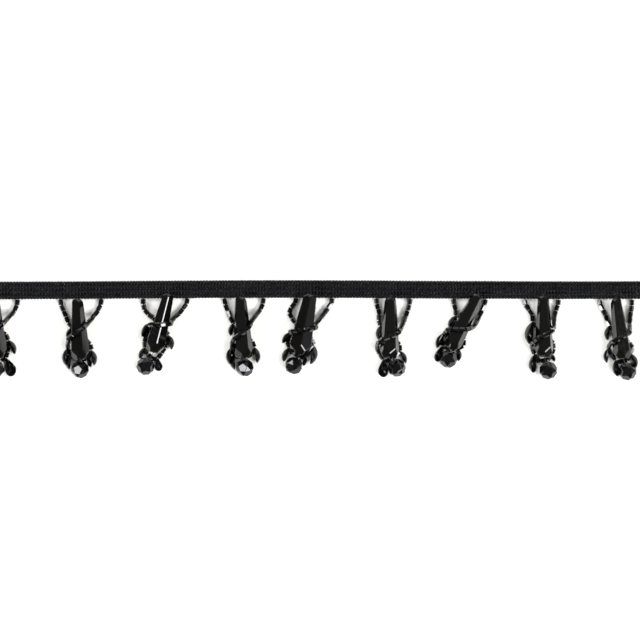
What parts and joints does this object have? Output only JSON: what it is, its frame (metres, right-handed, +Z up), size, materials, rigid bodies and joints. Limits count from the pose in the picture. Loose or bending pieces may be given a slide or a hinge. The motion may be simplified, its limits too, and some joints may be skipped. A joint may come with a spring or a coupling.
{
  "type": "beaded fringe trim",
  "caption": "Cut length of black beaded fringe: a flat plaited braid with faceted drop and round beads below it, wrapped in strands of cut beads and cupped petals.",
  "frame": {"origin": "middle of the trim's box on the surface that it lies on", "axes": "+X along the braid, towards its right end; +Y across it, from the beads to the braid; +Z up from the surface, the way the front faces"},
  "size_m": [0.3218, 0.0466, 0.0137],
  "materials": {
    "braid_yarn": "plaited viscose yarn, soft sheen",
    "drop_beads": "moulded black acrylic with polished facets",
    "round_beads": "moulded black acrylic with polished facets",
    "cut_beads": "opaque black cut seed beads",
    "petals": "smooth cupped black petals",
    "thread": "twisted black beading thread"
  },
  "bodies": {
    "root": {"braid": "braid_yarn", "drop_1": "drop_beads", "drop_2": "drop_beads", "drop_3": "drop_beads", "drop_4": "drop_beads", "drop_5": "drop_beads", "drop_6": "drop_beads", "drop_7": "drop_beads", "drop_8": "drop_beads", "drop_9": "drop_beads", "round_1": "round_beads", "round_2": "round_beads", "round_3": "round_beads", "round_4": "round_beads", "round_5": "round_beads", "round_6": "round_beads", "round_7": "round_beads", "round_8": "round_beads", "round_9": "round_beads", "strands_1": "cut_beads", "strands_2": "cut_beads", "strands_3": "cut_beads", "strands_4": "cut_beads", "strands_5": "cut_beads", "strands_6": "cut_beads", "strands_7": "cut_beads", "strands_8": "cut_beads", "strands_9": "cut_beads"}
  },
  "joints": []
}
